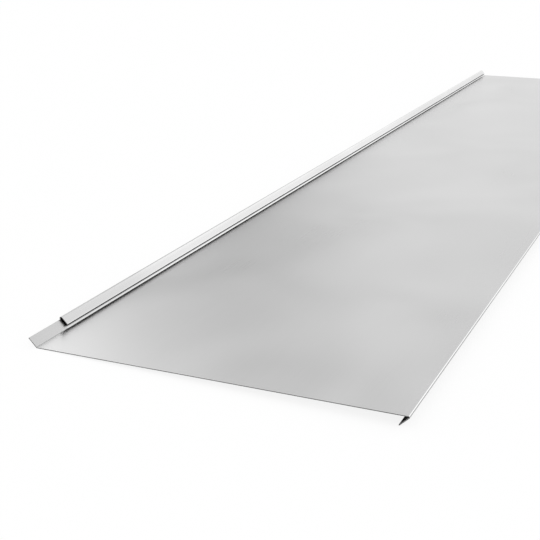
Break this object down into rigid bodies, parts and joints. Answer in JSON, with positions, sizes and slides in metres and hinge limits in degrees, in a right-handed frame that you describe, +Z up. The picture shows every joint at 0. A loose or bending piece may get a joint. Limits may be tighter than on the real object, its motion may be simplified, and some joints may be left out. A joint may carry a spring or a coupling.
{
  "type": "folded stainless steel sheet",
  "caption": "Long thin stainless steel sheet folded to a wide flat pan with an open hooked hem along one edge, notched back at one end, and a drip lip turned under the other.",
  "frame": {"origin": "middle of the bounding box, on the floor the sheet lies on", "axes": "+X across the sheet from the hooked edge to the drip edge, +Y along its length away from the notched end, +Z up"},
  "size_m": [0.4106, 2, 0.0128],
  "materials": {
    "stainless": "cold-rolled mill finish with a faint grain along the length"
  },
  "bodies": {
    "root": {"folded_sheet": "stainless"}
  },
  "joints": []
}
